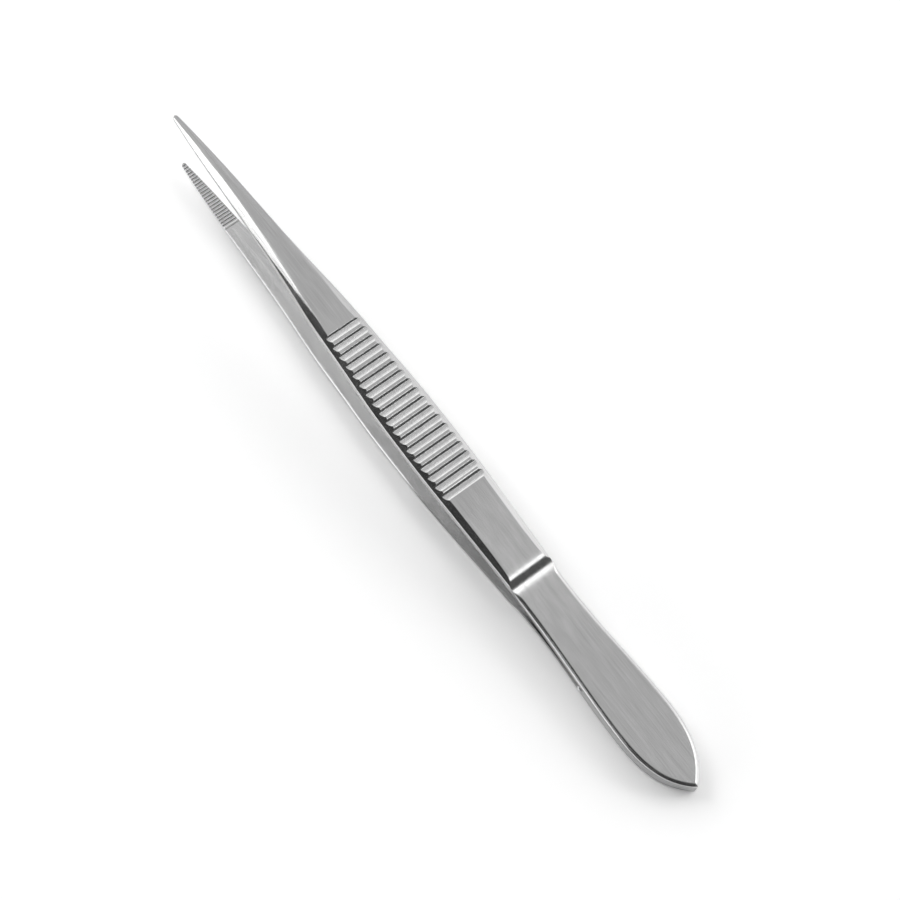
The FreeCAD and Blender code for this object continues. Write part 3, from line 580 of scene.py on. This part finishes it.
def half_section(x, top, blank, flat, slope, s, e):
    """Half a section at every x, as points y, z. It runs from the middle of the outer face down a
    shallow facet, a steep bevel and the wall, round the broken inner edge and to the middle of
    the inner face. Every corner is rounded. In the tail the two facets turn into a quarter
    round."""
    width = half_width(x, s, e)
    low = inner_height(x, s, e)
    foot = s.shoulder_place - s.shoulder_run
    leaf = 1 - fade(x, foot - 1.6, foot - 0.2)
    # Across a side that runs askew to X, an inset measured along Y is longer than the real one
    askew = np.sqrt(1 + np.minimum(np.abs(np.gradient(width, x)), 3) ** 2)
    rounding = e.tail_edge + LEAF_END_MORE * (1 - fade(x, *LEAF_END_FADE))
    inset = np.minimum(rounding * askew, width * 0.9)
    # Toward the leaf's end, where it is narrower than its rounded edges, its middle sinks too
    lack = 1 - np.clip(width / (e.tail_edge * askew), 0, 1)
    crown = top - leaf * e.tail_drop * lack ** 2
    # From the grip to the point the steep side bevel gives way to a wide shallow one
    shallow = np.interp(x, e.shallow_places, e.shallow_widths)
    shallow = np.convolve(np.pad(shallow, EVENED // 2, "edge"), np.ones(EVENED) / EVENED, "valid")
    shallow = np.minimum(shallow, width * 0.72)
    steep = np.maximum(np.interp(x, e.steep_places, e.steep_widths), LEAST_BEVEL)
    fore = fade(x, s.neck_place - 2, s.neck_place + 2)
    edge = (1 - fore) * flat + fore * (width - steep)
    edge = np.clip(edge + (1 - fore) * (blank - top) / slope, 0.0, width - 0.03)
    second_height = top - shallow * math.tan(math.radians(e.shallow_angle))
    third_height = (1 - fore) * (blank - slope * (width - flat)) \
        + fore * (second_height - STEEP_FALL * steep)
    third_height = np.clip(third_height, low + LEAST_WALL,
                           np.maximum(top - LEAST_STEP, low + LEAST_WALL + 0.01))

    def point(y, z):
        return np.stack([y, z], axis=-1)

    def mix(grip, tail):
        return grip * (1 - leaf) + tail * leaf

    none = np.zeros_like(x)
    middle_top, middle_low = point(none, crown), point(none, low)
    first = point(mix(np.maximum(edge - np.maximum(shallow, LEAST_STEP), 0), width - inset), crown)
    second = point(mix(edge, width), mix(second_height, top - e.tail_drop))
    third = point(width, mix(third_height, top - e.tail_drop - 0.3))
    broken = LEAST_BEVEL + (e.inner_edge - LEAST_BEVEL) * fade(x, *INNER_EDGE_FADE)
    broken = np.minimum(broken, width * 0.35)
    fourth, fifth = point(width, low + broken), point(width - broken, low)
    soft = np.minimum(e.outer_edge, width * 0.4)
    wide = fade(x, *POINT_EDGE_FADE) * (e.point_edge - e.outer_edge)
    grip = fade(x, s.grip_start, s.grip_start + 2) * (1 - fore)
    first_corner = corner(middle_top, first, second, soft + wide + TAIL_TOP_MORE * leaf, 7)
    second_corner = corner(first, second, third,
                           soft + GRIP_SIDE_MORE * grip + TAIL_SIDE_MORE * leaf, 7)
    third_corner = corner(second, third, fourth, soft, 4)
    fourth_corner = corner(third, fourth, fifth, broken * 0.3, 4)
    fifth_corner = corner(fourth, fifth, middle_low, broken * 0.3, 4)

    def between(a, b, shares):
        share = np.array(shares)[:, None, None]
        return a * (1 - share) + b * share

    return np.concatenate([
        between(middle_top, first_corner[0], [0, 0.5, 0.9, 0.98]), first_corner,
        between(first_corner[-1], second_corner[0], [0.1, 0.9]), second_corner,
        between(second_corner[-1], third_corner[0], [0.1, 0.9]), third_corner,
        between(third_corner[-1], fourth_corner[0], [0.08, 0.5, 0.92]), fourth_corner,
        between(fourth_corner[-1], fifth_corner[0], [0.1, 0.9]), fifth_corner,
        between(fifth_corner[-1], middle_low, [0.03, 0.2, 0.6, 1.0])])


def finish_and_painted_shading(x, depth, around, s):
    """The finish of each blade, as shares at every point of a ring and every x: cut on the floors
    of the flutes, by their depth, polish on the grip's bevels, and painted shade on the narrow
    faces and in the seam, with painted light on the lower blade's inner face."""
    row = np.arange(around)[:, None]
    side = np.minimum(row, around - row)
    one_half = row <= around // 2

    def stretch(first, last=around):
        return (side >= first) & (side < last)

    cut = stretch(0, FACET + 1) * fade(depth, *CUT_DEPTHS) * (x > s.grip_start)
    polish = BEVEL_POLISH * (stretch(FACET + 1, THIRD_CORNER) & (x < s.neck_place + 2))
    sides, walls = stretch(BEVEL - 1, INNER_FACE - 1), stretch(WALL - 1, INNER_FACE - 1)
    inner = stretch(INNER_FACE - 1)
    front = x > s.weld_length + 0.2
    fore = fade(x, s.neck_place - 2, s.neck_place + 2)
    seam = front * (1 - fade(x, s.shoulder_place - 2, s.shoulder_place))
    grip = fade(x, s.shoulder_place - 1, s.shoulder_place + 1) * (1 - fore) * one_half
    # Painted shade on the sides at the weld, in the seam, on the upper blade's side along the grip
    # and by the point, where shade falls on the narrow faces
    weld_part_shade = np.where(side < WALL - 1, PAINTED_SHADING_LEVELS["weld_rim"], PAINTED_SHADING_LEVELS["weld_side"]) * sides * ~front
    upper = weld_part_shade + np.where(side < WALL, PAINTED_SHADING_LEVELS["seam_rim"], PAINTED_SHADING_LEVELS["seam_side"]) * sides * seam \
        + PAINTED_SHADING_LEVELS["grip_side"] * grip * stretch(WALL - 1, WALL + 2) \
        + PAINTED_SHADING_LEVELS["point_side"] * fore * stretch(THIRD_CORNER, FOURTH_CORNER)
    # The lower blade's side and inner face get painted shade up to the grip. From there on painted
    # light, standing in for the light that comes in between the blades, makes its inner face
    # brighter.
    lower = weld_part_shade + PAINTED_SHADING_LEVELS["lower_side"] * front * (
        walls * (1 - fade(x, *LOWER_SIDE_FADE)) + inner * (1 - fade(x, *LOWER_INNER_FADE)))
    lower = lower + inner * fade(x, *LIT_FADE) * (
        PAINTED_SHADING_LEVELS["lower_inner"] + PAINTED_SHADING_LEVELS["lower_point"] * fade(x, *LIT_POINT_FADE))
    return {"upper_blade": {"cut": cut, "polish": polish, "dull": upper},
            "lower_blade": {"cut": cut, "polish": polish, "dull": lower}}


def blade_rings(s, e):
    """Sections of the blade as closed rings of points, their brush map, and the finish and painted
    shading of each blade. A ring is a half section and its mirror image. The map runs along X and
    round the ring, so the ground lines follow the blade."""
    x = stations(s, e)
    blank, flat, slope = blank_sizes(x, s, e)
    top = outer_height(x, blank, s, e)
    half = half_section(x, top, blank, flat, slope, s, e)
    step = np.linalg.norm(np.diff(half, axis=0), axis=-1)
    reach = np.concatenate([np.zeros((1, len(x))), np.cumsum(step, axis=0)])
    whole = np.concatenate([half, half[-2:0:-1] * (-1, 1)])
    across = np.concatenate([reach, -reach[-2:0:-1]])
    along = np.broadcast_to(x, across.shape)
    rings = np.stack([along, whole[..., 0], whole[..., 1]], axis=-1)
    brush = np.stack([along, across], axis=-1) / 1000
    finish = finish_and_painted_shading(x, blank - top, len(whole), s)

    def outward(values):
        """One row for each x, with the points taken the way round that turns faces outward."""
        return values.swapaxes(0, 1)[:, ::-1]

    return outward(rings), outward(brush), {
        blade: {kind: outward(share) for kind, share in shares.items()}
        for blade, shares in finish.items()}


# Operators

class FORCEPS_OT_blades(bpy.types.Operator):
    """Makes the two blades, upper and lower, in place of the plain solids"""
    bl_idname = "forceps.blades"
    bl_label = "Blades"

    def execute(self, context):
        s, e = in_mm(context.scene.forceps_blade), in_mm(context.scene.forceps_edges)
        steel = brushed_stainless_steel(context.scene.forceps_finish)
        rings, brush, finish = blade_rings(s, e)
        for name, turned in (("upper_blade", False), ("lower_blade", True)):
            piece = skin("ground_" + name, to_row(rings, turned), steel, brush, finish[name])
            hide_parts(name)
            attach(piece, "root")
        return {"FINISHED"}


class FORCEPS_OT_weld(bpy.types.Operator):
    """Makes the small beads that close the seam at the front of the weld"""
    bl_idname = "forceps.weld"
    bl_label = "Weld beads"

    def execute(self, context):
        s, e = in_mm(context.scene.forceps_blade), in_mm(context.scene.forceps_edges)
        steel = brushed_stainless_steel(context.scene.forceps_finish)
        for side, name in ((1, "weld_bead_left"), (-1, "weld_bead_right")):
            # A spindle along the seam: as `turn` goes from 0 to pi, x follows its cosine and the
            # radius is half the bead's width times its sine to the power 0.7
            turn = np.linspace(0.02, math.pi - 0.02, 25)
            x = s.weld_length - BEAD_BACK - np.cos(turn) * BEAD_REACH
            radius = e.weld_bead / 2 * np.sin(turn)[:, None] ** 0.7
            angle = np.linspace(0, 2 * math.pi, 24, endpoint=False)
            y = side * (half_width(x, s, e)[:, None] - BEAD_SUNK + radius * np.cos(angle))
            z = radius * np.sin(angle)
            rings = np.stack([np.broadcast_to(x[:, None], y.shape), y, z], axis=-1)
            brush = np.stack([rings[..., 0], rings[..., 2]], axis=-1) / 1000
            if side > 0:
                rings, brush = rings[:, ::-1], brush[:, ::-1]
            piece = skin(name, to_row(rings, False), steel, brush)
            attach(piece, "root")
        return {"FINISHED"}


# Lamps: name, place, target and size in metres, and watts
LAMPS = (("window_softbox", (-0.18, -0.34, 0.235), (0, 0, 0), (0.25, 0.25), 0.1),
         ("side_softbox", (0.205, 0.13, 0.35), (0.03, 0, 0), (0.13, 0.18), 0.2))
# The room: its plain level, then patches of it, each by the direction of its centre, the angles
# in degrees at which it is full and gone, and its level
ROOM_LEVEL = 0.9
ROOM_PATCHES = (
    # The ceiling
    ((0, 0, 1), 56, 66, 0.60),
    # The window's wall and the window
    ((-0.30, -0.92, 0.20), 16, 40, 1.3),
    ((-0.25, -0.72, 0.62), 9, 17, 2.4),
    # The wall beyond the points
    ((0.94, 0.18, 0.22), 26, 54, 1.5),
    # A dark screen on the other side, with a pale strip under it
    ((0.22, 0.73, 0.64), 28, 38, 0.03),
    ((0.30, 0.93, 0.16), 13, 21, 2.1),
    # A dark wall behind the tail, and the dark camera
    ((-0.88, -0.15, 0.45), 31, 37, 0.09),
    ((-0.58, 0.66, 0.48), 16, 26, 0.05),
    # A small bright panel overhead
    ((-0.352, -0.238, 0.905), 5, 9, 3.0))
# The paper floor reaches this far from the middle each way, in metres, with this many points
FLOOR_REACH, FLOOR_POINTS = 2, 9
# The camera, fitted to the photograph: its turn and its height above the paper in degrees, its
# distance in metres from AIM, and how far it then moves to its right and down
CAMERA_TURN, CAMERA_HEIGHT, CAMERA_DISTANCE = -37.30, 66.91, 0.2682
AIM, CAMERA_RIGHT, CAMERA_DOWN = (0, 0, 0.005), 0.00364, 0.00034


def area_lamp(name, place, target, size, power):
    """A soft oblong lamp at a place, facing a target, in metres and watts."""
    data = bpy.data.lights.new(name, "AREA")
    data.shape, data.size, data.size_y = "RECTANGLE", size[0], size[1]
    data.energy = power
    lamp = bpy.data.objects.new(name, data)
    bpy.context.scene.collection.objects.link(lamp)
    lamp.rotation_mode = "QUATERNION"
    lamp.rotation_quaternion = (Vector(target) - Vector(place)).to_track_quat("-Z", "Y")
    lamp.location = place
    return lamp


def lobe(tree, direction, centre, inner, outer):
    """1 within `inner` degrees of a centre direction, 0 beyond `outer`, smooth between them."""
    aim = Vector(centre).normalized()
    near = add_node(tree, "ShaderNodeVectorMath", {1: tuple(aim)}, {0: direction},
                    operation="DOT_PRODUCT")
    share = add_node(tree, "ShaderNodeMapRange",
                     {"From Min": math.cos(math.radians(outer)),
                      "From Max": math.cos(math.radians(inner))},
                     {"Value": near.outputs["Value"]}, interpolation_type="SMOOTHSTEP")
    return share.outputs["Result"]


def blend_level(tree, share, low, high):
    """A level that goes from low to high with the share. Each is a number or an output."""
    node = add_node(tree, "ShaderNodeMix", None, {"Factor": share})
    for socket, value in (("A", low), ("B", high)):
        if isinstance(value, (int, float)):
            node.inputs[socket].default_value = value
        else:
            tree.links.new(value, node.inputs[socket])
    return node.outputs["Result"]


def studio_world(scene):
    """The room round the paper, as the steel mirrors it: pale walls with a window, a dimmer
    ceiling with a small bright panel, and dark screens. The camera sees plain white."""
    world = bpy.data.worlds.get("studio") or bpy.data.worlds.new("studio")
    world.use_nodes = True
    tree = world.node_tree
    tree.nodes.clear()
    place = add_node(tree, "ShaderNodeTexCoord")
    direction = place.outputs["Generated"]
    level = ROOM_LEVEL
    for centre, inner, outer, high in ROOM_PATCHES:
        level = blend_level(tree, lobe(tree, direction, centre, inner, outer), level, high)
    seen = add_node(tree, "ShaderNodeLightPath")
    room = add_node(tree, "ShaderNodeBackground", None, {"Color": level})
    white = add_node(tree, "ShaderNodeBackground", {"Color": (1, 1, 1, 1), "Strength": 1.0})
    mixed = add_node(tree, "ShaderNodeMixShader", None,
                     {0: seen.outputs["Is Camera Ray"], 1: room.outputs["Background"],
                      2: white.outputs["Background"]})
    add_node(tree, "ShaderNodeOutputWorld", None, {"Surface": mixed.outputs["Shader"]})
    scene.world = world


class FORCEPS_OT_stage(bpy.types.Operator):
    """Makes the paper floor, the soft light and the camera"""
    bl_idname = "forceps.stage"
    bl_label = "Floor, light and camera"

    def execute(self, context):
        scene = context.scene
        paper = matt_paper(scene.forceps_finish)
        # A flat grid: x and y from -reach to reach, z 0
        u = np.linspace(-FLOOR_REACH, FLOOR_REACH, FLOOR_POINTS)
        x, y = np.meshgrid(u, u, indexing="ij")
        spots = np.stack([x, y, np.zeros_like(x)], axis=-1)
        cells = np.arange(x.size).reshape(x.shape)
        faces = np.stack([cells[:-1, :-1], cells[1:, :-1], cells[1:, 1:], cells[:-1, 1:]], axis=-1)
        mesh = bpy.data.meshes.new("paper_floor")
        mesh.from_pydata(spots.reshape(-1, 3).tolist(), [], faces.reshape(-1, 4).tolist())
        mesh.materials.append(paper)
        floor = bpy.data.objects.new("paper_floor", mesh)
        scene.collection.objects.link(floor)

        for lamp in LAMPS:
            area_lamp(*lamp)
        studio_world(scene)

        turn, height = math.radians(CAMERA_TURN), math.radians(CAMERA_HEIGHT)
        ahead = Vector((math.cos(turn) * math.cos(height), math.sin(turn) * math.cos(height),
                        -math.sin(height)))
        right = Vector((math.sin(turn), -math.cos(turn), 0))
        down = ahead.cross(right)
        data = bpy.data.cameras.new("camera")
        data.sensor_width, data.lens = 36.0, 80.0
        data.clip_start, data.clip_end = 0.01, 10.0
        camera = bpy.data.objects.new("camera", data)
        scene.collection.objects.link(camera)
        camera.rotation_mode = "QUATERNION"
        camera.rotation_quaternion = Matrix((right, -down, -ahead)).transposed().to_quaternion()
        camera.location = Vector(AIM) - ahead * CAMERA_DISTANCE + right * CAMERA_RIGHT \
            + down * CAMERA_DOWN
        scene.camera = camera
        scene.view_settings.view_transform = "Standard"
        return {"FINISHED"}


class FORCEPS_PT_panel(bpy.types.Panel):
    """Lists the forceps' pieces and their sizes"""
    bl_idname = "FORCEPS_PT_panel"
    bl_label = "Splinter forceps"
    bl_space_type = "VIEW_3D"
    bl_region_type = "UI"
    bl_category = "Forceps"

    def draw(self, context):
        for operator in OPERATORS:
            self.layout.operator(operator.bl_idname)
        for group in (context.scene.forceps_blade, context.scene.forceps_edges,
                      context.scene.forceps_finish):
            box = self.layout.box()
            for name in group.__annotations__:
                box.prop(group, name)


GROUPS = (("forceps_blade", ForcepsBladeSizes), ("forceps_edges", ForcepsEdgeSizes),
          ("forceps_finish", ForcepsFinish))
OPERATORS = (FORCEPS_OT_blades, FORCEPS_OT_weld, FORCEPS_OT_stage)


def register():
    for name, group in GROUPS:
        bpy.utils.register_class(group)
        setattr(bpy.types.Scene, name, PointerProperty(type=group))
    for operator in OPERATORS:
        bpy.utils.register_class(operator)
    bpy.utils.register_class(FORCEPS_PT_panel)


def unregister():
    bpy.utils.unregister_class(FORCEPS_PT_panel)
    for operator in OPERATORS:
        bpy.utils.unregister_class(operator)
    for name, group in GROUPS:
        delattr(bpy.types.Scene, name)
        bpy.utils.unregister_class(group)


def main():
    register()
    bpy.ops.forceps.blades()
    bpy.ops.forceps.weld()
    bpy.ops.forceps.stage()


if __name__ == "__main__":
    main()
